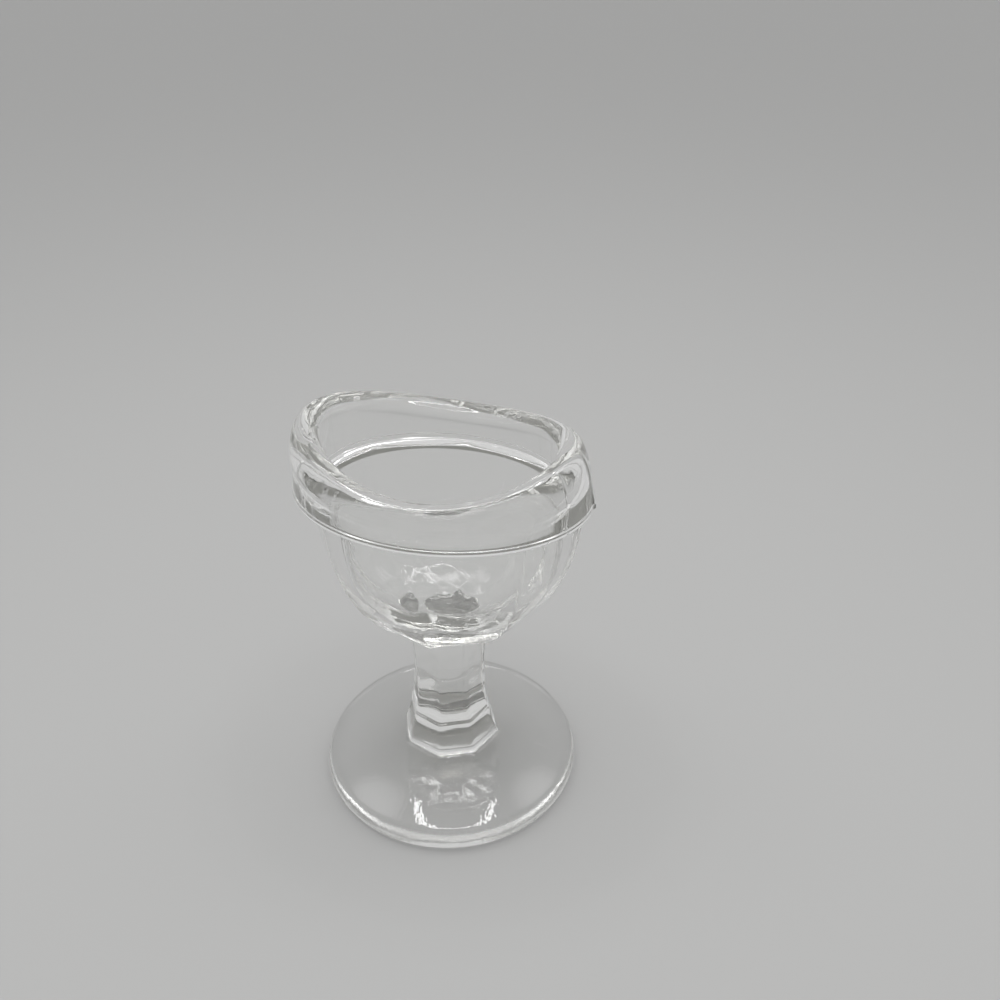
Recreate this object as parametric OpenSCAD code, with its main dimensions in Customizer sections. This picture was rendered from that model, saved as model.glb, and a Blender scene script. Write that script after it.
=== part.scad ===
// Eye bath of clear pressed glass: a round domed foot, an eight-sided stem on a flared base,
// an oval panelled bowl and an overhanging rim with a saddle-shaped lip. Millimetres, +Z up.
// The origin is the middle of the foot's underside, and +X runs along the long axis of the mouth.

/* [Foot] */
// Diameter of the foot at its widest line
foot_diameter = 40; // [36:0.5:46]
// Height of the widest line above the table
foot_edge_height = 1.2; // [0.9:0.1:1.8]
// How far the rounded edge reaches in from the widest line
foot_edge_reach = 6.5; // [4:0.5:8]
// Roundness of the edge's profile: 2 is an ellipse, more is fuller
foot_edge_roundness = 2.2; // [1.8:0.05:2.6]
// Height of the shoulder where the rounded edge meets the sloping top
foot_shoulder_height = 5.8; // [4.5:0.1:6.4]
// Height of the flat seat that carries the stem
foot_seat_height = 6.8; // [6.6:0.1:8]
// Room round the stem's base on that seat
foot_seat_margin = 0.6; // [0.3:0.1:1.2]
// Width of the flat ring that stands on the table
foot_ring_width = 2.4; // [1.5:0.1:3.5]
// Depth of the shallow hollow inside that ring
foot_hollow_depth = 0.9; // [0.4:0.1:1.5]

/* [Stem] */
// Number of flat sides of the stem, and of panels round the bowl
side_count = 8; // [6:2:10]
// Corner radius of the flared base where it stands on the foot
base_foot_radius = 7.25; // [6.9:0.05:8]
// Corner radius of the flared base at its top
base_top_radius = 6.3; // [6.1:0.05:6.6]
// Height of the flared base
base_height = 5.6; // [4:0.1:8]
// Corner radius of the stem at its two ends
stem_end_radius = 6.05; // [5.85:0.05:6.1]
// Corner radius of the stem at its waist
stem_waist_radius = 5.6; // [4.8:0.05:5.8]
// Length of the stem between base and bowl
stem_length = 16.6; // [12:0.2:24]
// How far up the stem its waist lies
stem_waist_share = 0.36; // [0.25:0.01:0.75]

/* [Bowl] */
// Height of the bowl from the stem to the rim
bowl_height = 22.2; // [18:0.1:26]
// Length of the bowl under the rim, corner to corner
bowl_length = 39.4; // [37:0.2:40.4]
// Width of the bowl under the rim, corner to corner
bowl_width = 28.2; // [26.6:0.2:29]
// Roundness of the bowl's profile along its length
bowl_end_roundness = 2; // [1.7:0.05:2.6]
// Roundness of the bowl's profile across its width
bowl_side_roundness = 2.3; // [1.9:0.05:3]
// How far each panel swells from flat, 0, to the full oval, 1
panel_swell = 0.25; // [0:0.05:0.6]
// Thickness of glass between the hollow and the stem
floor_thickness = 3.7; // [2.5:0.1:5]
// Length of the hollow at the height of the ledge
hollow_length = 31.4; // [29:0.2:32.4]
// Width of the hollow at the height of the ledge
hollow_width = 22.8; // [20:0.2:23.4]
// Roundness of the hollow's profile
hollow_roundness = 2.4; // [1.8:0.05:2.8]

/* [Rim] */
// Length of the ledge, where the collar is longest
ledge_length = 42.4; // [41.2:0.2:46]
// Width of the ledge, where the collar is widest
ledge_width = 31.8; // [30.4:0.2:34]
// Radius that breaks the ledge's lower edge
ledge_edge_radius = 0.4; // [0.2:0.05:0.6]
// Length of the lip, crest to crest
lip_length = 36.6; // [35.6:0.2:38]
// Width of the lip, crest to crest
lip_width = 29; // [27:0.2:29.4]
// Height of the lip's crest above the ledge at the two ends
lip_end_height = 9.8; // [7.5:0.1:12]
// Height of the lip's crest above the ledge at the two sides
lip_side_height = 6.3; // [5:0.1:7]
// How far the lip's roll reaches inward from its crest
lip_inner_reach = 1.5; // [1:0.1:1.6]
// How far below the crest the roll ends inside
lip_inner_drop = 1.8; // [1:0.1:3]
// How far the lip's roll reaches outward at the sides
lip_side_reach = 1.2; // [0.8:0.1:1.4]
// How far below the crest the roll ends outside at the sides
lip_side_drop = 1.6; // [1:0.1:2.6]
// How far the lip's roll reaches outward at the ends
lip_end_reach = 2.4; // [1.4:0.1:2.8]
// How far below the crest the roll ends outside at the ends
lip_end_drop = 5.6; // [3:0.1:6.5]

/* [Hidden] */
$fn = 96;

glass = [0.86, 0.92, 0.92, 0.5];
side_angle = 360 / side_count;
panel_steps = 10;
ring_points = side_count * panel_steps;
profile_steps = 12;
roll_steps = 8;
break_steps = 4;

foot_radius = foot_diameter / 2;
foot_ring_radius = foot_radius - foot_edge_height / 2;
seat_radius = base_foot_radius + foot_seat_margin;
base_bottom = foot_seat_height;
stem_bottom = base_bottom + base_height;
bowl_bottom = stem_bottom + stem_length;
ledge_height = bowl_bottom + bowl_height;
hollow_depth = bowl_height - floor_thickness;

// Point on the quarter of a superellipse at an angle from its flat end: 0 gives [0, 1] and 90 gives [1, 0]
function quarter(angle, roundness) =
    [pow(sin(angle), 2 / roundness), pow(cos(angle), 2 / roundness)];

// Ring of points on an oval, each lifted by the height function's value at its angle
function oval(half_length, half_width, heights) =
    [for (i = [0 : ring_points - 1])
        let (angle = 360 * i / ring_points)
        [half_length * cos(angle), half_width * sin(angle), heights[i]]];

function level(height) = [for (i = [0 : ring_points - 1]) height];

// Ring of flat-sided points with its corners on an oval: swell runs from flat sides, 0, to the oval, 1
function panelled(half_length, half_width, height, swell, steps) =
    [for (side = [0 : side_count - 1], step = [0 : steps - 1])
        let (
            angle = side_angle * (side + step / steps),
            corner = [half_length * cos(side_angle * side), half_width * sin(side_angle * side)],
            next = [half_length * cos(side_angle * (side + 1)), half_width * sin(side_angle * (side + 1))],
            flat = corner + (next - corner) * step / steps,
            point = flat + swell * ([half_length * cos(angle), half_width * sin(angle)] - flat)
        )
        [point[0], point[1], height]];

// How far toward an end, 1, or a side, 0, of the oval each point of a ring lies
function end_share() = [for (i = [0 : ring_points - 1]) pow(cos(360 * i / ring_points), 2)];

// Middle of a ring of points
function middle(ring) =
    [for (axis = [0 : 2])
        let (values = [for (point = ring) point[axis]])
        (min(values) + max(values)) / 2];

// Skin over rings of equal count: a solid with two caps, or a closed band where the last ring joins the first
module skin(rings, closed = false) {
    count = len(rings[0]);
    rows = len(rings);
    first_middle = rows * count;
    last_middle = first_middle + 1;
    walls = [for (row = [0 : rows - (closed ? 1 : 2)], i = [0 : count - 1])
        let (above = (row + 1) % rows, next = (i + 1) % count)
        [row * count + i, above * count + i, above * count + next, row * count + next]];
    caps = closed ? [] : [for (i = [0 : count - 1])
        let (next = (i + 1) % count, top = (rows - 1) * count)
        each [[first_middle, i, next], [last_middle, top + next, top + i]]];
    points = [for (ring = rings) each ring];
    polyhedron(
        points = closed ? points : concat(points, [middle(rings[0]), middle(rings[rows - 1])]),
        faces = concat(walls, caps),
        convexity = 6);
}

// Round foot: a thick domed disc with a flat seat on top and a shallow hollow inside its standing ring
module foot() {
    ring_inner = foot_ring_radius - foot_ring_width;
    edge_rise = foot_shoulder_height - foot_edge_height;
    edge = [for (i = [0 : profile_steps])
        let (at = quarter(90 * i / profile_steps, foot_edge_roundness))
        [foot_radius - foot_edge_reach + foot_edge_reach * at[1], foot_edge_height + edge_rise * at[0]]];
    lower_edge = [for (i = [1 : break_steps - 1])
        let (at = quarter(90 * i / break_steps, 2))
        [foot_ring_radius + (foot_radius - foot_ring_radius) * at[0], foot_edge_height * (1 - at[1])]];
    hollow = [for (i = [0 : profile_steps - 1])
        let (radius = ring_inner * i / profile_steps)
        [radius, foot_hollow_depth * (1 - pow(radius / ring_inner, 2))]];
    color(glass)
        rotate_extrude()
            polygon(concat(
                hollow,
                [[ring_inner, 0], [foot_ring_radius, 0]],
                lower_edge,
                edge,
                [[seat_radius, foot_seat_height], [0, foot_seat_height]]));
}

// Flared base: flat sides that sweep in from the foot to a small step under the stem
module stem_base() {
    sweep = base_foot_radius - base_top_radius;
    color(glass)
        skin([for (i = [0 : profile_steps])
            let (
                share = i / profile_steps,
                radius = base_top_radius + sweep * pow(1 - share, 2)
            )
            panelled(radius, radius, base_bottom + base_height * share, 0, 1)]);
}

// Waisted stem with flat sides
module stem() {
    color(glass)
        skin([for (i = [0 : profile_steps])
            let (
                share = i / profile_steps,
                from_waist = share < stem_waist_share
                    ? (stem_waist_share - share) / stem_waist_share
                    : (share - stem_waist_share) / (1 - stem_waist_share),
                radius = stem_waist_radius + (stem_end_radius - stem_waist_radius) * pow(from_waist, 2)
            )
            panelled(radius, radius, stem_bottom + stem_length * share, 0, 1)]);
}

// Oval bowl: panels outside, a smooth hollow inside
module bowl() {
    outside = [for (i = [0 : profile_steps])
        let (
            at = quarter(90 * i / profile_steps, bowl_end_roundness),
            share = 1 - at[1],
            across = pow(1 - pow(1 - share, bowl_side_roundness), 1 / bowl_side_roundness),
            half_length = stem_end_radius + (bowl_length / 2 - stem_end_radius) * at[0],
            half_width = stem_end_radius + (bowl_width / 2 - stem_end_radius) * across,
            swell = panel_swell * share
        )
        panelled(half_length, half_width, bowl_bottom + bowl_height * share, swell, panel_steps)];
    inside = [for (i = [profile_steps : -1 : 1])
        let (at = quarter(90 * i / profile_steps, hollow_roundness))
        oval(
            hollow_length / 2 * at[0],
            hollow_width / 2 * at[0],
            level(ledge_height - hollow_depth * at[1]))];
    color(glass)
        skin(concat(outside, inside));
}

// Rim: a collar that overhangs the bowl with a flat ledge, and a rolled lip that is high at the ends
module rim() {
    toward_end = end_share();
    crest = [for (share = toward_end)
        ledge_height + lip_side_height + (lip_end_height - lip_side_height) * share];
    half_length = lip_length / 2;
    half_width = lip_width / 2;
    ledge = [for (i = [0 : break_steps])
        let (at = quarter(90 * i / break_steps, 2))
        oval(
            ledge_length / 2 - ledge_edge_radius * (1 - at[0]),
            ledge_width / 2 - ledge_edge_radius * (1 - at[0]),
            level(ledge_height + ledge_edge_radius * (1 - at[1])))];
    outer_roll = [for (i = [roll_steps : -1 : 0])
        let (at = quarter(90 * i / roll_steps, 2))
        [for (k = [0 : ring_points - 1])
            let (
                angle = 360 * k / ring_points,
                reach = lip_side_reach + (lip_end_reach - lip_side_reach) * toward_end[k],
                drop = lip_side_drop + (lip_end_drop - lip_side_drop) * toward_end[k]
            )
            [(half_length + reach * at[0]) * cos(angle), (half_width + reach * at[0]) * sin(angle),
                crest[k] - drop * (1 - at[1])]]];
    inner_roll = [for (i = [1 : roll_steps])
        let (at = quarter(90 * i / roll_steps, 2))
        oval(
            half_length - lip_inner_reach * at[0],
            half_width - lip_inner_reach * at[0],
            [for (height = crest) height - lip_inner_drop * (1 - at[1])])];
    throat = [oval(hollow_length / 2, hollow_width / 2, level(ledge_height))];
    color(glass)
        skin(concat(throat, ledge, outer_roll, inner_roll), closed = true);
}

foot();
stem_base();
stem();
bowl();
rim();
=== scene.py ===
import math

import bmesh
import bpy
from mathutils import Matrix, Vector


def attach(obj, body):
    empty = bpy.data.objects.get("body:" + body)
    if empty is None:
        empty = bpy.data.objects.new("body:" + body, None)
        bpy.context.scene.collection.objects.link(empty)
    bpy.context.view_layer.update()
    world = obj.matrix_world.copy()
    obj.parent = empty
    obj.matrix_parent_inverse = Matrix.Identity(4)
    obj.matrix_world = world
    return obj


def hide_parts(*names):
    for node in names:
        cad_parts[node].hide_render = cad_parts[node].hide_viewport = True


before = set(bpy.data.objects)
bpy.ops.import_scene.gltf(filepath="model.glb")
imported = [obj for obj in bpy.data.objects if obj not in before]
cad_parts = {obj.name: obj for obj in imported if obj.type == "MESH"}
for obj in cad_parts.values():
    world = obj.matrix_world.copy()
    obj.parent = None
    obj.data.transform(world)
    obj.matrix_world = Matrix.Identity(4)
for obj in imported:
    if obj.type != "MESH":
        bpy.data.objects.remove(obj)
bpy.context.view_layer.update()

# Eye bath of clear pressed glass. Sizes are in millimetres and are turned into metres when a ring is laid.
MM = 0.001

# Rings round the upright axis, with their points crowded at the two mould seams on the long axis
RING_POINTS = 480
SEAM_CROWDING = 0.6
TURNS = []
for number in range(RING_POINTS):
    share = number / RING_POINTS
    TURNS.append(2 * math.pi * share - SEAM_CROWDING / 2 * math.sin(4 * math.pi * share))

SIDES = 8
HALF_SIDE = math.pi / SIDES
QUARTER_TURN = math.pi / 2

# Slow waves of the pressing: share of the size, waves round the axis, turn for each millimetre up, start
RIPPLES = (
    (1.0, 3, 1.1, 0.4),
    (0.7, 5, -0.83, 2.1),
    (0.5, 2, 2.3, 4.0))

# Foot
FOOT_RADIUS = 20.0
FOOT_WIDEST_HEIGHT = 1.5
FOOT_RING_OUTER = 19.1
FOOT_RING_INNER = 17.0
FOOT_HOLLOW_DEPTH = 0.9
FOOT_HOLLOW_START = 0.04
FOOT_TOP_HEIGHT = 6.8
FOOT_TOP_SLOPE = 0.165
FOOT_DOME_RADIUS = 10.5
FOOT_DOME_FALL = 0.017
FOOT_EDGE_RADIUS = 18.8
FOOT_FILLET = 1.1
FOOT_FILLET_REACH = 0.3
FOOT_SIDES_FADE = 2.0
FOOT_SEAM = 0.05
FOOT_SEAM_WIDTH = 0.14
FOOT_SEAM_FADE = 6.0
FOOT_HOLLOW_RINGS = 14
FOOT_STANDING_RINGS = 6
FOOT_CORNER_RINGS = 8
FOOT_EDGE_RINGS = 20
FOOT_DOME_RINGS = 36
FOOT_FILLET_RINGS = 10

# Stem and its flared base
BASE_RADIUS = 7.25
BASE_BOTTOM = FOOT_TOP_HEIGHT + FOOT_FILLET
BASE_FOOT_SQUARENESS = 0.75
BASE_SQUARENESS = 0.9
BASE_SHOULDER_RADIUS = 6.36
BASE_SHOULDER_HEIGHT = 11.8
BASE_RIGHT_SEAM = 0.2
BASE_WAVE = 0.04
BASE_FLARE_RINGS = 18
BASE_SHOULDER_RINGS = 10
STEM_BOTTOM = 12.6
STEM_FOOT_RADIUS = 6.12
STEM_WAIST_RADIUS = 5.6
STEM_WAIST_HEIGHT = 18.2
STEM_TOP = 28.2
STEM_TOP_RADIUS = 6.05
STEM_CORNER_SHARPNESS = 40
STEM_RIGHT_SEAM = 0.15
STEM_LEFT_SEAM = 0.12
STEM_SEAM_WIDTH = 0.28
STEM_WAVE = 0.02
STEM_RINGS = 44

# Bowl
BOWL_BOTTOM = 29.0
BOWL_TOP = 50.6
LEDGE_HEIGHT = 51.2
BOWL_HALF_LENGTH = 19.7
BOWL_HALF_WIDTH = 14.1
BOWL_END_ROUNDNESS = 2.0
BOWL_SIDE_ROUNDNESS = 2.3
BOWL_FOOT_SQUARENESS = 0.85
BOWL_START_ANGLE = 0.09
BOWL_CORNER_SHARPNESS = 200
BOWL_SEAM = 0.12
BOWL_SEAM_WIDTH = 0.3
PANEL_SWELL = 0.45
BOWL_FILLET_RINGS = 10
BOWL_WALL_RINGS = 52

# Waves and chill marks on the bowl, which die away as many times faster than it rises as their fades say
BOWL_FILLET_WAVE = 0.11
BOWL_LOW_WAVE = 0.08
BOWL_HIGH_WAVE = 0.015
BOWL_WAVE_FADE = 2
BOWL_CHILL = 0.055
BOWL_CHILL_FADE = 3
CHILL_TURNS = 3
CHILL_RISE = 1.6

# Hollow
HOLLOW_TOP = 57.0
HOLLOW_HALF_LENGTH = 16.6
HOLLOW_HALF_WIDTH = 12.3
HOLLOW_FLOOR = 31.4
HOLLOW_DEPTH = HOLLOW_TOP - HOLLOW_FLOOR
HOLLOW_FLOOR_ROUNDNESS = 2.2
HOLLOW_WALL_ROUNDNESS = 4.6
HOLLOW_LAST_ANGLE = 0.03
FLOOR_WAVE = 0.07
FLOOR_WAVE_TOP = 37.0
HOLLOW_RINGS = 48

# Rim
LEDGE_HALF_LENGTH = 21.2
LEDGE_HALF_WIDTH = 15.9
LEDGE_EDGE = 0.1
UNDER_LEDGE_CURVE = 0.8
UNDER_LEDGE_FLAT = 0.8
LEDGE_BEAD = 0.75
LEDGE_STEP = 0.22
LEDGE_STEP_EDGE = 0.12
LIP_HALF_LENGTH = 18.3
LIP_HALF_WIDTH = 14.5
LIP_END_HEIGHT = 9.8
LIP_SIDE_HEIGHT = 6.3
LIP_INNER_DROP = 1.7
LIP_INNER_BULGE = 0.28
LIP_BULGE_RETURN = 0.9
LIP_SIDE_REACH = 1.2
LIP_SIDE_DROP = 1.6
LIP_END_REACH = 2.4
LIP_END_DROP = 5.6
LIP_LEAN = 0.83
LIP_SHIFT_LONG = -0.42
RIM_SEAM_WIDTH = 0.4
RIM_RIGHT_SEAM = 0.28
RIM_LEFT_SEAM = 0.12
LIP_SEAM_SHARE = 0.4
UNDER_LEDGE_RINGS = 12
LEDGE_FLAT_RINGS = 3
LEDGE_EDGE_RINGS = 8
BEAD_RINGS = 3
BEAD_EDGE_RINGS = 6
LEDGE_STEP_RINGS = 4
COLLAR_RINGS = 12
LIP_OUTER_RINGS = 24
LIP_INNER_RINGS = 18
LIP_RETURN_RINGS = 7
THROAT_RINGS = 14


def mix(low, high, share):
    return low + (high - low) * share


def within(share):
    """The share, held between 0 and 1."""
    return min(1.0, max(0.0, share))


def ease(share):
    """Share from 0 to 1 that starts and ends gently."""
    return share * share * (3 - 2 * share)


def steps(count, first=0.0, last=1.0):
    """Evenly spaced values from first to last, both included."""
    return [mix(first, last, number / count) for number in range(count + 1)]


def quarter(angle):
    """Point on a quarter circle: angle 0 gives (0, 1) and a right angle gives (1, 0)."""
    return max(math.sin(angle), 0.0), max(math.cos(angle), 0.0)


def flat_sided(turn, sharpness):
    """Radius of an eight-sided outline with rounded corners, where a sharp corner would be at 1."""
    total = 0.0
    for side in range(SIDES):
        facing = math.cos(turn - HALF_SIDE * (2 * side + 1))
        if facing > 0:
            total += facing ** sharpness
    return math.cos(HALF_SIDE) * total ** (-1 / sharpness)


def seam(turn, radius, width, right_height, left_height):
    """Height of the thin ridge that the mould's joint leaves on the two ends of the long axis."""
    off_right = abs(math.atan2(math.sin(turn), math.cos(turn))) * radius
    off_left = (math.pi - off_right / radius) * radius
    return (right_height * math.exp(-(off_right / width) ** 2)
            + left_height * math.exp(-(off_left / width) ** 2))


def ripple(turn, height, size):
    """Slow waves that pressing leaves in the glass."""
    total = 0.0
    for share, waves, rise, start in RIPPLES:
        total += share * math.sin(waves * turn + rise * height + start)
    return size * total


def round_ring(radius, height):
    return [(radius * math.cos(turn), radius * math.sin(turn), height) for turn in TURNS]


def oval_ring(half_length, half_width, height):
    return [(half_length * math.cos(turn), half_width * math.sin(turn), height) for turn in TURNS]


STEM_OUTLINE = [flat_sided(turn, STEM_CORNER_SHARPNESS) for turn in TURNS]
BOWL_OUTLINE = [flat_sided(turn, BOWL_CORNER_SHARPNESS) for turn in TURNS]


def stem_ring(radius, height, squareness=1.0, right_seam=STEM_RIGHT_SEAM, left_seam=STEM_LEFT_SEAM,
              wave=STEM_WAVE):
    """Ring of the stem: eight-sided, or round where squareness is 0."""
    ring = []
    for turn, outline in zip(TURNS, STEM_OUTLINE):
        reach = radius * mix(1.0, outline, squareness)
        reach += seam(turn, radius, STEM_SEAM_WIDTH, right_seam, left_seam)
        reach += ripple(turn, height, wave)
        ring.append((reach * math.cos(turn), reach * math.sin(turn), height))
    return ring


def foot_top(radius):
    """Height of the foot's upper face."""
    fall = FOOT_TOP_SLOPE * (radius - BASE_RADIUS)
    return FOOT_TOP_HEIGHT - fall - FOOT_DOME_FALL * max(0.0, radius - FOOT_DOME_RADIUS) ** 2


def foot_rings():
    """Rings of the foot, from the middle of its hollow round its edge and up to the stem's base."""
    rings = []
    for share in steps(FOOT_HOLLOW_RINGS, FOOT_HOLLOW_START):
        radius = FOOT_RING_INNER * share
        rings.append(round_ring(radius, FOOT_HOLLOW_DEPTH * (1 - share ** 2)))
    for radius in steps(FOOT_STANDING_RINGS, FOOT_RING_INNER, FOOT_RING_OUTER)[1:]:
        rings.append(round_ring(radius, 0.0))
    for angle in steps(FOOT_CORNER_RINGS, 0, QUARTER_TURN)[1:]:
        out, up = quarter(angle)
        radius = mix(FOOT_RING_OUTER, FOOT_RADIUS, out)
        rings.append(round_ring(radius, FOOT_WIDEST_HEIGHT * (1 - up)))
    # The rounded edge leaves the widest line upright and meets the dome at the dome's own slope
    edge_slope = FOOT_TOP_SLOPE + 2 * FOOT_DOME_FALL * (FOOT_EDGE_RADIUS - FOOT_DOME_RADIUS)
    edge_top = foot_top(FOOT_EDGE_RADIUS)
    edge_corner = edge_top - edge_slope * (FOOT_RADIUS - FOOT_EDGE_RADIUS)
    for share in steps(FOOT_EDGE_RINGS)[1:]:
        radius = mix(FOOT_RADIUS, mix(FOOT_RADIUS, FOOT_EDGE_RADIUS, share), share)
        height = mix(mix(FOOT_WIDEST_HEIGHT, edge_corner, share), mix(edge_corner, edge_top, share), share)
        rings.append(round_ring(radius, height))
    # The dome carries the seam and takes on the eight sides near the stem
    fillet_start = BASE_RADIUS + FOOT_FILLET + FOOT_FILLET_REACH
    for radius in steps(FOOT_DOME_RINGS, FOOT_EDGE_RADIUS, fillet_start)[1:]:
        closeness = within(1 - (radius - fillet_start) / FOOT_SIDES_FADE)
        ring = stem_ring(radius, 0.0, BASE_FOOT_SQUARENESS * ease(closeness), 0.0, 0.0, 0.0)
        seam_share = FOOT_SEAM * ease(min(1.0, (FOOT_EDGE_RADIUS - radius) / FOOT_SEAM_FADE))
        ridge = [seam_share * seam(turn, radius, FOOT_SEAM_WIDTH, 1.0, 1.0) for turn in TURNS]
        rings.append([(x, y, foot_top(radius) + rise) for (x, y, z), rise in zip(ring, ridge)])
    for angle in steps(FOOT_FILLET_RINGS, 0, QUARTER_TURN)[1:]:
        inward, left = quarter(angle)
        radius = mix(fillet_start, BASE_RADIUS, inward)
        height = mix(foot_top(fillet_start), BASE_BOTTOM, 1 - left)
        squareness = mix(BASE_FOOT_SQUARENESS, BASE_SQUARENESS, inward)
        rings.append(stem_ring(radius, height, squareness, BASE_RIGHT_SEAM * inward,
                               STEM_LEFT_SEAM * inward, BASE_WAVE * inward))
    return rings


def stem_base_rings():
    """Rings of the stem's base: its flare, and the shoulder where the stem begins."""
    rings = []
    for share in steps(BASE_FLARE_RINGS):
        height = mix(BASE_BOTTOM, BASE_SHOULDER_HEIGHT, share)
        radius = mix(BASE_SHOULDER_RADIUS, BASE_RADIUS, (1 - share) ** 2)
        squareness = mix(BASE_SQUARENESS, 1.0, share)
        right_seam = mix(BASE_RIGHT_SEAM, STEM_RIGHT_SEAM, share)
        wave = mix(BASE_WAVE, STEM_WAVE, share)
        rings.append(stem_ring(radius, height, squareness, right_seam, STEM_LEFT_SEAM, wave))
    for share in steps(BASE_SHOULDER_RINGS)[1:]:
        height = mix(BASE_SHOULDER_HEIGHT, STEM_BOTTOM, share)
        radius = mix(BASE_SHOULDER_RADIUS, STEM_FOOT_RADIUS, ease(share))
        rings.append(stem_ring(radius, height))
    return rings


def stem_rings():
    """Rings of the stem, which narrows to its waist and widens again to the bowl."""
    rings = []
    for share in steps(STEM_RINGS):
        height = mix(STEM_BOTTOM, STEM_TOP, share)
        if height < STEM_WAIST_HEIGHT:
            away = (STEM_WAIST_HEIGHT - height) / (STEM_WAIST_HEIGHT - STEM_BOTTOM)
            radius = mix(STEM_WAIST_RADIUS, STEM_FOOT_RADIUS, away ** 2)
        else:
            away = (height - STEM_WAIST_HEIGHT) / (STEM_TOP - STEM_WAIST_HEIGHT)
            radius = mix(STEM_WAIST_RADIUS, STEM_TOP_RADIUS, away ** 2)
        rings.append(stem_ring(radius, height))
    return rings


def bowl_ring(half_length, half_width, height, swell, wave, chill):
    """Ring of the bowl: eight panels between rounded corners, which swell a little toward the top."""
    ring = []
    for turn, outline in zip(TURNS, BOWL_OUTLINE):
        reach = mix(outline, 1.0, swell)
        ridge = seam(turn, half_length, BOWL_SEAM_WIDTH, BOWL_SEAM, BOWL_SEAM)
        ridge += ripple(turn, height, wave) + ripple(CHILL_TURNS * turn, CHILL_RISE * height, chill)
        ring.append((
            (half_length * reach + ridge) * math.cos(turn),
            (half_width * reach + ridge) * math.sin(turn),
            height))
    return ring


def bowl_outside(share):
    """Half length and half width of the bowl at a share of its height."""
    along = (1 - (1 - share) ** BOWL_END_ROUNDNESS) ** (1 / BOWL_END_ROUNDNESS)
    across = (1 - (1 - share) ** BOWL_SIDE_ROUNDNESS) ** (1 / BOWL_SIDE_ROUNDNESS)
    return (mix(STEM_TOP_RADIUS, BOWL_HALF_LENGTH, along),
            mix(STEM_TOP_RADIUS, BOWL_HALF_WIDTH, across))


def bowl_outer_rings():
    """Rings of the bowl's outside: the fillet above the stem, and the panels."""
    rings = []
    fillet = BOWL_BOTTOM - STEM_TOP
    for angle in steps(BOWL_FILLET_RINGS, 0, QUARTER_TURN):
        out, up = quarter(angle)
        radius = mix(STEM_TOP_RADIUS, STEM_TOP_RADIUS + fillet, 1 - up)
        height = mix(STEM_TOP, BOWL_BOTTOM, out)
        squareness = mix(1.0, BOWL_FOOT_SQUARENESS, 1 - up)
        right_seam = mix(STEM_RIGHT_SEAM, BOWL_SEAM, out)
        wave = mix(STEM_WAVE, BOWL_FILLET_WAVE, 1 - up)
        rings.append(stem_ring(radius, height, squareness, right_seam, STEM_LEFT_SEAM, wave))
    full_height = LEDGE_HEIGHT - BOWL_BOTTOM
    last_share = (BOWL_TOP - BOWL_BOTTOM) / full_height
    for angle in steps(BOWL_WALL_RINGS, BOWL_START_ANGLE, math.acos(1 - last_share)):
        share = 1 - math.cos(angle)
        half_length, half_width = bowl_outside(share)
        height = BOWL_BOTTOM + full_height * share
        wave = mix(BOWL_LOW_WAVE, BOWL_HIGH_WAVE, min(1.0, BOWL_WAVE_FADE * share))
        chill = mix(BOWL_CHILL, 0.0, min(1.0, BOWL_CHILL_FADE * share))
        rings.append(bowl_ring(half_length, half_width, height, PANEL_SWELL * share, wave, chill))
    return rings


def hollow_size(height):
    """Half length and half width of the hollow at a height."""
    down = max(0.0, (HOLLOW_TOP - height) / HOLLOW_DEPTH)
    reach = max(0.0, 1 - down ** HOLLOW_WALL_ROUNDNESS) ** (1 / HOLLOW_FLOOR_ROUNDNESS)
    return HOLLOW_HALF_LENGTH * reach, HOLLOW_HALF_WIDTH * reach


def floor_wave(x, y):
    """Uneven floor that the plunger's chilled tip leaves: three waves that cross."""
    return FLOOR_WAVE * (math.sin(0.95 * x + 0.4) * math.cos(0.8 * y - 0.7)
                         + 0.7 * math.sin(1.5 * x - 1.2 * y + 2.0)
                         + 0.5 * math.cos(2.1 * y + 0.6 * x + 1.0))


def hollow_rings():
    """Rings of the hollow, from its joint with the rim down to its floor."""
    rings = []
    top_share = (HOLLOW_TOP - BOWL_TOP) / HOLLOW_DEPTH
    first_angle = math.acos(top_share ** (HOLLOW_WALL_ROUNDNESS / 2))
    for angle in steps(HOLLOW_RINGS, first_angle, HOLLOW_LAST_ANGLE):
        out = math.sin(angle) ** (2 / HOLLOW_FLOOR_ROUNDNESS)
        height = HOLLOW_TOP - HOLLOW_DEPTH * math.cos(angle) ** (2 / HOLLOW_WALL_ROUNDNESS)
        wave_share = ease(within((FLOOR_WAVE_TOP - height) / (FLOOR_WAVE_TOP - HOLLOW_FLOOR)))
        ring = oval_ring(HOLLOW_HALF_LENGTH * out, HOLLOW_HALF_WIDTH * out, height)
        rings.append([(x, y, z + wave_share * floor_wave(x, y)) for x, y, z in ring])
    return rings


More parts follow.
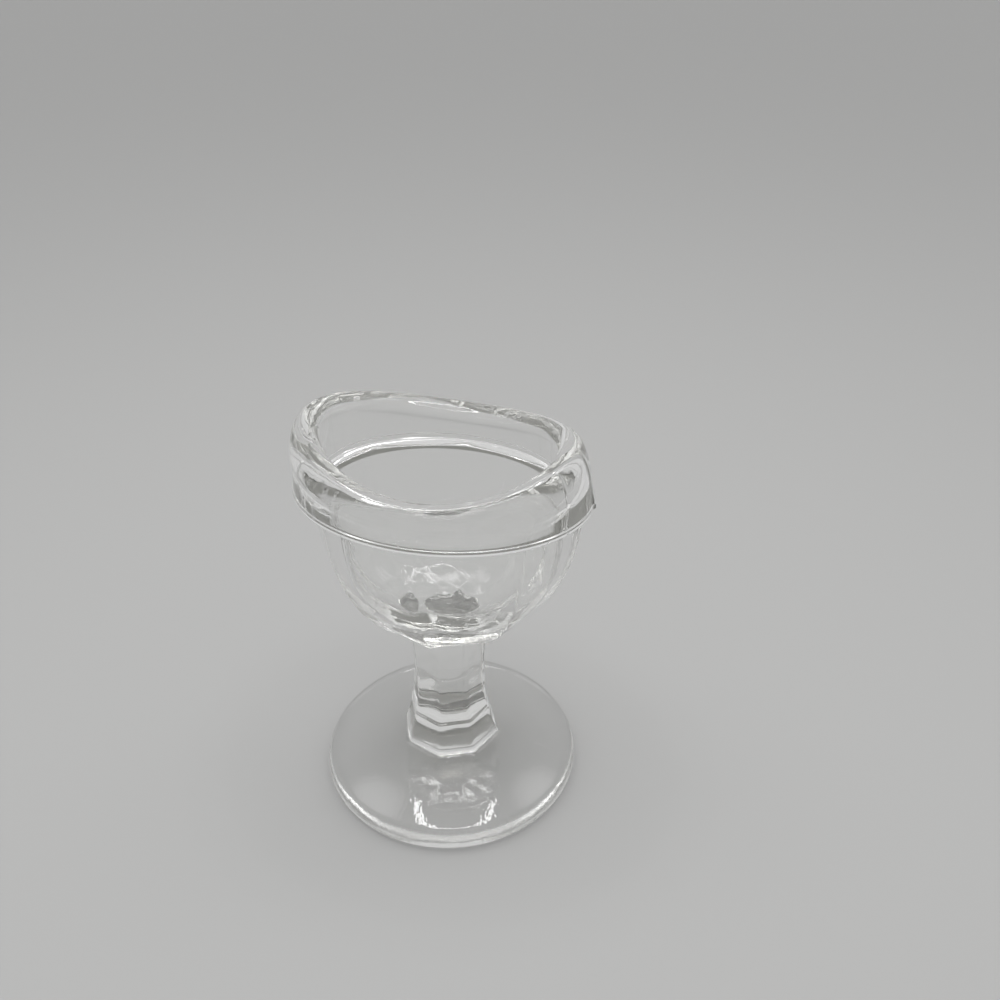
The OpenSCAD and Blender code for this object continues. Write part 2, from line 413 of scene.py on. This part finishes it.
def rim_column(turn, bowl_edge):
    """Points of the rim at one turn: joint with the bowl, ledge, bead, collar, lip and inner wall."""
    along, across = math.cos(turn), math.sin(turn)
    end = along ** 2
    crest = LEDGE_HEIGHT + mix(LIP_SIDE_HEIGHT, LIP_END_HEIGHT, end)
    reach = mix(LIP_SIDE_REACH, LIP_END_REACH, end)
    drop = mix(LIP_SIDE_DROP, LIP_END_DROP, end)
    ridge = seam(turn, LEDGE_HALF_LENGTH, RIM_SEAM_WIDTH, RIM_RIGHT_SEAM, RIM_LEFT_SEAM)

    def at(half_length, half_width, height, seam_share=0.0):
        """Point on an oval, with its share of the seam and of the lip's lean."""
        lean = ease(within((height - LEDGE_HEIGHT) / (crest - LEDGE_HEIGHT)))
        return ((half_length + ridge * seam_share) * along + LIP_SHIFT_LONG * lean,
                (half_width + ridge * seam_share) * across,
                height - LIP_LEAN * along * lean)

    column = [at(*hollow_size(BOWL_TOP), BOWL_TOP), bowl_edge]

    # The underside of the ledge rises from the bowl's wall, steeply at first, to a narrow flat at its edge
    edge_length = LEDGE_HALF_LENGTH - LEDGE_EDGE
    edge_width = LEDGE_HALF_WIDTH - LEDGE_EDGE
    wall = Vector(bowl_edge)
    under = Vector(((edge_length - UNDER_LEDGE_FLAT) * along,
                    (edge_width - UNDER_LEDGE_FLAT) * across, LEDGE_HEIGHT))
    for share in steps(UNDER_LEDGE_RINGS)[1:]:
        out = share ** 2
        column.append((mix(wall.x, under.x, out), mix(wall.y, under.y, out),
                       mix(BOWL_TOP, LEDGE_HEIGHT, out ** UNDER_LEDGE_CURVE)))
    for flat in steps(LEDGE_FLAT_RINGS, UNDER_LEDGE_FLAT, 0.0)[1:]:
        column.append(at(edge_length - flat, edge_width - flat, LEDGE_HEIGHT))
    for angle in steps(LEDGE_EDGE_RINGS, 0, QUARTER_TURN)[1:]:
        out, down = quarter(angle)
        column.append(at(edge_length + LEDGE_EDGE * out, edge_width + LEDGE_EDGE * out,
                         LEDGE_HEIGHT + LEDGE_EDGE * (1 - down), out))

    # A thin upright bead, a small step in, and the collar's wall up to the lip
    bead_top = LEDGE_HEIGHT + LEDGE_BEAD
    for height in steps(BEAD_RINGS, LEDGE_HEIGHT + LEDGE_EDGE, bead_top - LEDGE_STEP_EDGE)[1:]:
        column.append(at(LEDGE_HALF_LENGTH, LEDGE_HALF_WIDTH, height, 1.0))
    for angle in steps(BEAD_EDGE_RINGS, 0, QUARTER_TURN)[1:]:
        up, left = quarter(angle)
        inset = LEDGE_STEP_EDGE * (1 - left)
        column.append(at(LEDGE_HALF_LENGTH - inset, LEDGE_HALF_WIDTH - inset,
                         bead_top - LEDGE_STEP_EDGE * (1 - up), 1.0))
    for angle in steps(LEDGE_STEP_RINGS, 0, QUARTER_TURN)[1:]:
        inward, left = quarter(angle)
        inset = mix(LEDGE_STEP_EDGE, LEDGE_STEP, inward)
        column.append(at(LEDGE_HALF_LENGTH - inset, LEDGE_HALF_WIDTH - inset,
                         bead_top + LEDGE_STEP_EDGE * (1 - left), 1.0))
    for share in steps(COLLAR_RINGS)[1:]:
        column.append(at(
            mix(LEDGE_HALF_LENGTH - LEDGE_STEP, LIP_HALF_LENGTH + reach, ease(share)),
            mix(LEDGE_HALF_WIDTH - LEDGE_STEP, LIP_HALF_WIDTH + reach, ease(share)),
            mix(bead_top + LEDGE_STEP_EDGE, crest - drop, share), mix(1.0, LIP_SEAM_SHARE, share)))
    for angle in steps(LIP_OUTER_RINGS, QUARTER_TURN, 0)[1:]:
        out, up = quarter(angle)
        column.append(at(LIP_HALF_LENGTH + reach * out, LIP_HALF_WIDTH + reach * out,
                         crest - drop * (1 - up), LIP_SEAM_SHARE * out))

    # Inside, the rolled lip swells into the mouth a little before the hollow's own wall begins
    bulge_height = crest - LIP_INNER_DROP
    inner_length, inner_width = [size - LIP_INNER_BULGE for size in hollow_size(bulge_height)]
    for angle in steps(LIP_INNER_RINGS, 0, QUARTER_TURN)[1:]:
        inward, up = quarter(angle)
        column.append(at(mix(LIP_HALF_LENGTH, inner_length, inward),
                         mix(LIP_HALF_WIDTH, inner_width, inward),
                         crest - LIP_INNER_DROP * (1 - up)))
    wall_top = bulge_height - LIP_BULGE_RETURN
    for share in steps(LIP_RETURN_RINGS)[1:]:
        height = mix(bulge_height, wall_top, share)
        bulge = LIP_INNER_BULGE * (1 - ease(share))
        length, width = hollow_size(height)
        column.append(at(length - bulge, width - bulge, height))
    for height in steps(THROAT_RINGS, wall_top, BOWL_TOP)[1:-1]:
        column.append(at(*hollow_size(height), height))
    return column


def rim_rings():
    """Rings of the rim, which closes on itself at its joint with the bowl."""
    columns = [rim_column(turn, edge) for turn, edge in zip(TURNS, bowl_outer_rings()[-1])]
    return list(zip(*columns))


# Modelling: each point notes its place in its ring, and its ring's row
POINT_NOTES = ("place", "row")
JOINT_SLOT = 1
SMOOTH_ANGLE = 50


def lay_ring(piece, ring, row):
    """Lays the selected ring of points on a section, and notes which row it is."""
    mesh = bmesh.from_edit_mesh(piece.data)
    place = mesh.verts.layers.int["place"]
    row_of = mesh.verts.layers.int["row"]
    for vert in mesh.verts:
        if vert.select:
            x, y, z = ring[vert[place]]
            vert.co = (x * MM, y * MM, z * MM)
            vert[row_of] = row
    bmesh.update_edit_mesh(piece.data)


def select_row(piece, rows):
    """Selects the edges that lie wholly in one of the named rows."""
    bpy.ops.mesh.select_all(action="DESELECT")
    bpy.ops.mesh.select_mode(type="EDGE")
    mesh = bmesh.from_edit_mesh(piece.data)
    row_of = mesh.verts.layers.int["row"]
    for edge in mesh.edges:
        first, second = edge.verts
        if first[row_of] in rows and first[row_of] == second[row_of]:
            edge.select_set(True)
    bmesh.update_edit_mesh(piece.data)


def extrude_rings(name, rings):
    """Starts a piece as a circle and extrudes it ring by ring.

    The piece is left in edit mode with its last ring selected.
    """
    bpy.ops.object.select_all(action="DESELECT")
    bpy.ops.mesh.primitive_circle_add(vertices=RING_POINTS, radius=FOOT_RADIUS * MM)
    piece = bpy.context.object
    piece.name = name
    piece.data.name = name
    bpy.ops.object.mode_set(mode="EDIT")
    mesh = bmesh.from_edit_mesh(piece.data)
    for note in POINT_NOTES:
        mesh.verts.layers.int.new(note)
    place = mesh.verts.layers.int["place"]
    for number, vert in enumerate(mesh.verts):
        vert[place] = number
    bmesh.update_edit_mesh(piece.data)
    bpy.ops.mesh.select_mode(type="VERT")
    bpy.ops.mesh.select_all(action="SELECT")
    lay_ring(piece, rings[0], 0)
    for row, ring in enumerate(rings[1:], 1):
        bpy.ops.mesh.extrude_edges_move()
        lay_ring(piece, ring, row)
    return piece


def close_to_point(piece, ring, row):
    """Closes the selected ring to a point in its middle, which is a row of its own."""
    bpy.ops.mesh.extrude_edges_move()
    bpy.ops.mesh.select_mode(type="VERT")
    bpy.ops.mesh.merge(type="CENTER")
    mesh = bmesh.from_edit_mesh(piece.data)
    place = mesh.verts.layers.int["place"]
    row_of = mesh.verts.layers.int["row"]
    for vert in mesh.verts:
        if vert.select:
            vert.co = [sum(values) / RING_POINTS * MM for values in zip(*ring)]
            vert[place] = 0
            vert[row_of] = row
    bmesh.update_edit_mesh(piece.data)


def close_with_face(piece, row):
    """Closes a row with one flat face."""
    select_row(piece, {row})
    bpy.ops.mesh.edge_face_add()


def sort_rows(piece):
    """Sorts points, edges and faces by row and place, because extruding leaves them in no fixed order."""
    mesh = bmesh.from_edit_mesh(piece.data)
    place = mesh.verts.layers.int["place"]
    row_of = mesh.verts.layers.int["row"]
    count = len(mesh.verts)

    def point_order(vert):
        return vert[row_of] * RING_POINTS + vert[place]

    def span_order(span):
        orders = [point_order(vert) for vert in span.verts]
        return sum(orders) * count + min(orders)

    mesh.verts.sort(key=point_order)
    mesh.edges.sort(key=span_order)
    mesh.faces.sort(key=span_order)
    for parts in (mesh.verts, mesh.edges, mesh.faces):
        parts.index_update()
    bmesh.update_edit_mesh(piece.data)


def finish_piece(piece, glass, joint_rows, node):
    """Turns the faces outward, makes the joints with the next pieces clear, and seats the piece."""
    sort_rows(piece)
    bpy.ops.mesh.select_all(action="SELECT")
    bpy.ops.mesh.normals_make_consistent(inside=False)
    bpy.ops.mesh.select_all(action="DESELECT")
    bpy.ops.object.mode_set(mode="OBJECT")
    piece.data.materials.append(glass)
    piece.data.materials.append(joint_glass)
    # A joint is the band between two rows, or the many-sided face that closes one
    row_of = [entry.value for entry in piece.data.attributes["row"].data]
    for face in piece.data.polygons:
        rows = {row_of[vert] for vert in face.vertices}
        if rows in joint_rows and (len(rows) == 2 or len(face.vertices) > 4):
            face.material_index = JOINT_SLOT
    for note in POINT_NOTES:
        piece.data.attributes.remove(piece.data.attributes[note])
    bpy.ops.object.shade_smooth_by_angle(angle=math.radians(SMOOTH_ANGLE))
    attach(piece, "root")
    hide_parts(node)


# Materials: heights are in metres, noise scales are per metre, and the radial one per unit of direction
PEBBLE_SCALE = 700.0
CHILL_SCALE = 2400.0
RADIAL_SCALE = 34.0
CRAZED_SCALE = 1300.0
CRAZED_HEIGHT = 0.030
CRAZED_FADE = 0.010
STREAK_SCALE = 90.0
HAZE_SCALE = 260.0
GRIT_SCALE = 1400.0
WORN_HEIGHT = 0.00012
WORN_ROUGHNESS = 0.2


def grey(level):
    return (level, level, level, 1.0)


def new_material(name):
    material = bpy.data.materials.new(name)
    material.use_nodes = True
    return material


def new_group(name, inputs, outputs):
    """Starts a node group whose inputs are numbers, with its entry, exit and the piece's coordinates."""
    group = bpy.data.node_groups.new(name, "ShaderNodeTree")
    for socket in inputs:
        group.interface.new_socket(socket, in_out="INPUT", socket_type="NodeSocketFloat")
    for socket, kind in outputs.items():
        group.interface.new_socket(socket, in_out="OUTPUT", socket_type=kind)
    entry = group.nodes.new("NodeGroupInput")
    leave = group.nodes.new("NodeGroupOutput")
    place = group.nodes.new("ShaderNodeTexCoord").outputs["Object"]
    return group, entry, leave, place


def place_group(material, group, values):
    """Places a node group in a material with its own values."""
    node = material.node_tree.nodes.new("ShaderNodeGroup")
    node.node_tree = group
    for socket, value in values.items():
        node.inputs[socket].default_value = value
    return node


def add_noise(tree, vector, scale, detail):
    """Adds a noise texture that reads the given coordinates."""
    noise = tree.nodes.new("ShaderNodeTexNoise")
    noise.inputs["Scale"].default_value = scale
    noise.inputs["Detail"].default_value = detail
    tree.links.new(vector, noise.inputs["Vector"])
    return noise


def add_math(tree, operation, *values):
    """Adds arithmetic on the given outputs, and returns its own output."""
    node = tree.nodes.new("ShaderNodeMath")
    node.operation = operation
    for socket, value in zip(node.inputs, values):
        tree.links.new(value, socket)
    return node.outputs["Value"]


def make_joint_glass():
    """Glass runs through from piece to piece, so the faces where two pieces meet are wholly clear."""
    material = new_material("glass_joint")
    material.node_tree.nodes["Principled BSDF"].inputs["Alpha"].default_value = 0.0
    return material


def make_wave_group():
    """Height of the waves, pebbling, chill marks and tool marks that a pressing mould leaves in glass."""
    inputs = ("Wave Scale", "Pebble Share", "Chill Share", "Radial Share", "Crazed Height", "Crazed Share")
    outputs = {"Height": "NodeSocketFloat"}
    group, entry, leave, place = new_group("pressed_waves", inputs, outputs)
    nodes, links = group.nodes, group.links

    # Slow waves
    wave = nodes.new("ShaderNodeTexNoise")
    wave.inputs["Detail"].default_value = 1.0
    links.new(place, wave.inputs["Vector"])
    links.new(entry.outputs["Wave Scale"], wave.inputs["Scale"])

    # Tool marks that run out from the middle follow the direction from the axis alone
    level = nodes.new("ShaderNodeVectorMath")
    level.operation = "MULTIPLY"
    level.inputs[1].default_value = (1.0, 1.0, 0.0)
    outward = nodes.new("ShaderNodeVectorMath")
    outward.operation = "NORMALIZE"
    links.new(place, level.inputs[0])
    links.new(level.outputs["Vector"], outward.inputs[0])

    # Below the crazed height the chilled glass is more uneven, and above it this soon fades
    split = nodes.new("ShaderNodeSeparateXYZ")
    below = nodes.new("ShaderNodeMapRange")
    below.interpolation_type = "SMOOTHSTEP"
    below.inputs["From Min"].default_value = CRAZED_FADE
    below.inputs["From Max"].default_value = 0.0
    below.inputs["To Min"].default_value = 0.0
    links.new(place, split.inputs["Vector"])
    links.new(add_math(group, "SUBTRACT", split.outputs["Z"], entry.outputs["Crazed Height"]),
              below.inputs["Value"])
    crazed = add_math(group, "MULTIPLY", below.outputs["Result"], entry.outputs["Crazed Share"])

    height = wave.outputs["Fac"]
    for scale, detail, vector, share in (
            (PEBBLE_SCALE, 2.0, place, entry.outputs["Pebble Share"]),
            (CHILL_SCALE, 0.0, place, entry.outputs["Chill Share"]),
            (RADIAL_SCALE, 0.0, outward.outputs["Vector"], entry.outputs["Radial Share"]),
            (CRAZED_SCALE, 1.0, place, crazed)):
        marks = add_noise(group, vector, scale, detail)
        height = add_math(group, "MULTIPLY_ADD", marks.outputs["Fac"], share, height)
    links.new(height, leave.inputs["Height"])
    return group


def make_wear_group():
    """Faint streaks of tint in the melt, patches of haze from handling, and a rubbed standing ring."""
    inputs = ("Haze", "Worn Height", "Worn Roughness")
    outputs = {"Tint": "NodeSocketColor", "Roughness": "NodeSocketFloat"}
    group, entry, leave, place = new_group("melt_and_wear", inputs, outputs)
    nodes, links = group.nodes, group.links

    streak = add_noise(group, place, STREAK_SCALE, 2.0)
    streak.inputs["Distortion"].default_value = 0.6
    tint = nodes.new("ShaderNodeMix")
    tint.data_type = "RGBA"
    tint.inputs["A"].default_value = (1.0, 1.0, 0.998, 1.0)
    tint.inputs["B"].default_value = (0.975, 0.978, 0.972, 1.0)
    links.new(streak.outputs["Fac"], tint.inputs["Factor"])
    links.new(tint.outputs["Result"], leave.inputs["Tint"])

    patch = add_noise(group, place, HAZE_SCALE, 3.0)
    patches = nodes.new("ShaderNodeMapRange")
    patches.inputs["From Min"].default_value = 0.45
    patches.inputs["From Max"].default_value = 0.75
    links.new(patch.outputs["Fac"], patches.inputs["Value"])
    haze = add_math(group, "MULTIPLY", patches.outputs["Result"], entry.outputs["Haze"])

    split = nodes.new("ShaderNodeSeparateXYZ")
    links.new(place, split.inputs["Vector"])
    below = add_math(group, "LESS_THAN", split.outputs["Z"], entry.outputs["Worn Height"])
    grit = add_noise(group, place, GRIT_SCALE, 4.0)
    rubbed = add_math(group, "MULTIPLY", below, grit.outputs["Fac"])
    ground = add_math(group, "MULTIPLY", rubbed, entry.outputs["Worn Roughness"])
    links.new(add_math(group, "ADD", haze, ground), leave.inputs["Roughness"])
    return group


def make_glass(name, wave_scale, wave_depth, pebble, chill, radial, crazed, haze):
    """Clear glass with its waves and wear; lamps shine through it, less so at its edges."""
    material = new_material(name)
    nodes, links = material.node_tree.nodes, material.node_tree.links
    shader = nodes["Principled BSDF"]
    shader.inputs["IOR"].default_value = 1.5
    shader.inputs["Transmission Weight"].default_value = 1.0
    wear = place_group(material, wear_group, {
        "Haze": haze, "Worn Height": WORN_HEIGHT, "Worn Roughness": WORN_ROUGHNESS})
    links.new(wear.outputs["Tint"], shader.inputs["Base Color"])
    links.new(wear.outputs["Roughness"], shader.inputs["Roughness"])
    waves = place_group(material, wave_group, {
        "Wave Scale": wave_scale, "Pebble Share": pebble, "Chill Share": chill, "Radial Share": radial,
        "Crazed Height": CRAZED_HEIGHT, "Crazed Share": crazed})
    bump = nodes.new("ShaderNodeBump")
    bump.inputs["Strength"].default_value = 1.0
    bump.inputs["Distance"].default_value = wave_depth
    links.new(waves.outputs["Height"], bump.inputs["Height"])
    links.new(bump.outputs["Normal"], shader.inputs["Normal"])

    lamp_path = nodes.new("ShaderNodeLightPath")
    passes = add_math(material.node_tree, "MAXIMUM",
                      lamp_path.outputs["Is Shadow Ray"], lamp_path.outputs["Is Diffuse Ray"])
    edge = nodes.new("ShaderNodeLayerWeight")
    edge.inputs["Blend"].default_value = 0.35
    shade = nodes.new("ShaderNodeMix")
    shade.data_type = "RGBA"
    shade.inputs["A"].default_value = grey(1.0)
    shade.inputs["B"].default_value = grey(0.25)
    clear = nodes.new("ShaderNodeBsdfTransparent")
    joined = nodes.new("ShaderNodeMixShader")
    links.new(edge.outputs["Facing"], shade.inputs["Factor"])
    links.new(shade.outputs["Result"], clear.inputs["Color"])
    links.new(passes, joined.inputs["Fac"])
    links.new(shader.outputs["BSDF"], joined.inputs[1])
    links.new(clear.outputs["BSDF"], joined.inputs[2])
    links.new(joined.outputs["Shader"], nodes["Material Output"].inputs["Surface"])

    # Thick glass takes a faint warm grey from its depth
    depth = nodes.new("ShaderNodeVolumeAbsorption")
    depth.inputs["Color"].default_value = (0.5, 0.5, 0.42, 1.0)
    depth.inputs["Density"].default_value = 3.5
    links.new(depth.outputs["Volume"], nodes["Material Output"].inputs["Volume"])
    return material


joint_glass = make_joint_glass()
wave_group = make_wave_group()
wear_group = make_wear_group()
foot_glass = make_glass("glass_foot", wave_scale=120.0, wave_depth=0.00006, pebble=0.14, chill=0.14,
                        radial=0.1, crazed=0.0, haze=0.03)
stem_glass = make_glass("glass_stem", wave_scale=220.0, wave_depth=0.00006, pebble=0.15, chill=0.02,
                        radial=0.0, crazed=0.0, haze=0.03)
bowl_glass = make_glass("glass_bowl", wave_scale=150.0, wave_depth=0.00005, pebble=0.14, chill=0.03,
                        radial=0.0, crazed=1.2, haze=0.04)
rim_glass = make_glass("glass_rim", wave_scale=150.0, wave_depth=0.00006, pebble=0.15, chill=0.02,
                       radial=0.0, crazed=0.0, haze=0.02)

# Foot
rings = foot_rings()
foot = extrude_rings("foot_glass", rings)
close_with_face(foot, len(rings) - 1)
select_row(foot, {0})
close_to_point(foot, rings[0], len(rings))
finish_piece(foot, foot_glass, [{len(rings) - 1}], "foot")

# Flared base of the stem
rings = stem_base_rings()
stem_base = extrude_rings("stem_base_glass", rings)
close_with_face(stem_base, 0)
close_with_face(stem_base, len(rings) - 1)
finish_piece(stem_base, stem_glass, [{0}, {len(rings) - 1}], "stem_base")

# Stem
rings = stem_rings()
stem = extrude_rings("stem_glass", rings)
close_with_face(stem, 0)
close_with_face(stem, len(rings) - 1)
finish_piece(stem, stem_glass, [{0}, {len(rings) - 1}], "stem")

# Bowl: up its panels, across the joint with the rim, and down its hollow
outer_rings = bowl_outer_rings()
inner_rings = hollow_rings()
bowl = extrude_rings("bowl_glass", outer_rings + inner_rings)
close_to_point(bowl, inner_rings[-1], len(outer_rings + inner_rings))
close_with_face(bowl, 0)
finish_piece(bowl, bowl_glass, [{0}, {len(outer_rings) - 1, len(outer_rings)}], "bowl")

# Rim: a band that closes on itself
rings = rim_rings()
rim = extrude_rings("rim_glass", rings)
select_row(rim, {0, len(rings) - 1})
bpy.ops.mesh.bridge_edge_loops()
finish_piece(rim, rim_glass, [{0, 1}], "rim")

# Floor, a hair below the standing ring so that the two don't lie in one plane
FLOOR_SIZE = 40.0
FLOOR_GAP = 0.0001
bpy.ops.object.select_all(action="DESELECT")
bpy.ops.mesh.primitive_plane_add(size=FLOOR_SIZE, location=(0, 0, -FLOOR_GAP))
floor = bpy.context.object
floor.name = "floor"
floor_paint = new_material("floor_paint")
floor_shader = floor_paint.node_tree.nodes["Principled BSDF"]
floor_shader.inputs["Base Color"].default_value = (0.44, 0.44, 0.436, 1.0)
floor_shader.inputs["Roughness"].default_value = 0.7
floor_shader.inputs["Specular IOR Level"].default_value = 0.1
floor.data.materials.append(floor_paint)

# Camera at the photograph's place: its focal length is in pixels of the picture, and its roll in degrees
PICTURE_WIDTH = 1000
FOCAL_LENGTH = 1030
SENSOR_WIDTH = 36.0
CAMERA_PLACE = (0.0355, -0.1161, 0.1269)
CAMERA_AIM = (-0.1928, 0.8201, -0.5388)
CAMERA_ROLL = -0.15
camera_data = bpy.data.cameras.new("camera")
camera_data.sensor_width = SENSOR_WIDTH
camera_data.lens = SENSOR_WIDTH * FOCAL_LENGTH / PICTURE_WIDTH
camera_data.clip_start = 0.01
camera = bpy.data.objects.new("camera", camera_data)
bpy.context.collection.objects.link(camera)
camera.location = CAMERA_PLACE
camera.rotation_euler = Vector(CAMERA_AIM).to_track_quat("-Z", "Y").to_euler()
camera.rotation_euler.rotate_axis("Z", math.radians(CAMERA_ROLL))
bpy.context.scene.camera = camera

# Light: the pale room, a little brighter overhead, with a soft glow high on the left and on the right
ROOM_SIDES = 0.62
ROOM_OVERHEAD = 0.68
OVERHEAD_START = 0.1
LEFT_GLOW = (-0.56, 0.0, 0.83)
RIGHT_GLOW = (0.49, 0.34, 0.80)
GLOW_EDGE = 0.96
GLOW_STRENGTH = 3.0
world = bpy.data.worlds.new("room")
bpy.context.scene.world = world
world.use_nodes = True
nodes, links = world.node_tree.nodes, world.node_tree.links
direction = nodes.new("ShaderNodeTexCoord")
split = nodes.new("ShaderNodeSeparateXYZ")
sky = nodes.new("ShaderNodeMix")
sky.data_type = "RGBA"
sky.inputs["A"].default_value = grey(ROOM_SIDES)
sky.inputs["B"].default_value = grey(ROOM_OVERHEAD)
overhead = nodes.new("ShaderNodeMapRange")
overhead.interpolation_type = "SMOOTHSTEP"
overhead.inputs["From Min"].default_value = OVERHEAD_START
links.new(direction.outputs["Generated"], split.inputs["Vector"])
links.new(split.outputs["Z"], overhead.inputs["Value"])
links.new(overhead.outputs["Result"], sky.inputs["Factor"])
links.new(sky.outputs["Result"], nodes["Background"].inputs["Color"])
brightness = None
for toward in (LEFT_GLOW, RIGHT_GLOW):
    facing = nodes.new("ShaderNodeVectorMath")
    facing.operation = "DOT_PRODUCT"
    facing.inputs[1].default_value = toward
    glow = nodes.new("ShaderNodeMapRange")
    glow.interpolation_type = "SMOOTHSTEP"
    glow.inputs["From Min"].default_value = GLOW_EDGE
    glow.inputs["To Max"].default_value = GLOW_STRENGTH
    total = nodes.new("ShaderNodeMath")
    total.operation = "ADD"
    total.inputs[1].default_value = 1.0
    links.new(direction.outputs["Generated"], facing.inputs[0])
    links.new(facing.outputs["Value"], glow.inputs["Value"])
    links.new(glow.outputs["Result"], total.inputs[0])
    if brightness is not None:
        links.new(brightness, total.inputs[1])
    brightness = total.outputs["Value"]
links.new(brightness, nodes["Background"].inputs["Strength"])

# Light: a ring of soft lamps overhead
LAMPS = 12
LAMP_RING_RADIUS = 0.092
LAMP_HEIGHT = 0.34
LAMP_WIDTH = 0.016
LAMP_ENERGY = 0.038
for number in range(LAMPS):
    angle = 2 * math.pi * number / LAMPS
    lamp_data = bpy.data.lights.new("ring_lamp", "AREA")
    lamp_data.shape = "RECTANGLE"
    lamp_data.size = 2 * LAMP_RING_RADIUS * math.tan(math.pi / LAMPS)
    lamp_data.size_y = LAMP_WIDTH
    lamp_data.energy = LAMP_ENERGY
    lamp = bpy.data.objects.new("ring_lamp", lamp_data)
    lamp.location = (LAMP_RING_RADIUS * math.cos(angle), LAMP_RING_RADIUS * math.sin(angle), LAMP_HEIGHT)
    lamp.rotation_euler = (0, 0, angle + QUARTER_TURN)
    bpy.context.collection.objects.link(lamp)

# Light runs many times to and fro inside thick glass before it leaves
bpy.context.scene.cycles.max_bounces = 40
bpy.context.scene.cycles.glossy_bounces = 24
bpy.context.scene.cycles.transmission_bounces = 32
bpy.context.scene.cycles.transparent_max_bounces = 40

bpy.context.scene.view_settings.view_transform = "Standard"
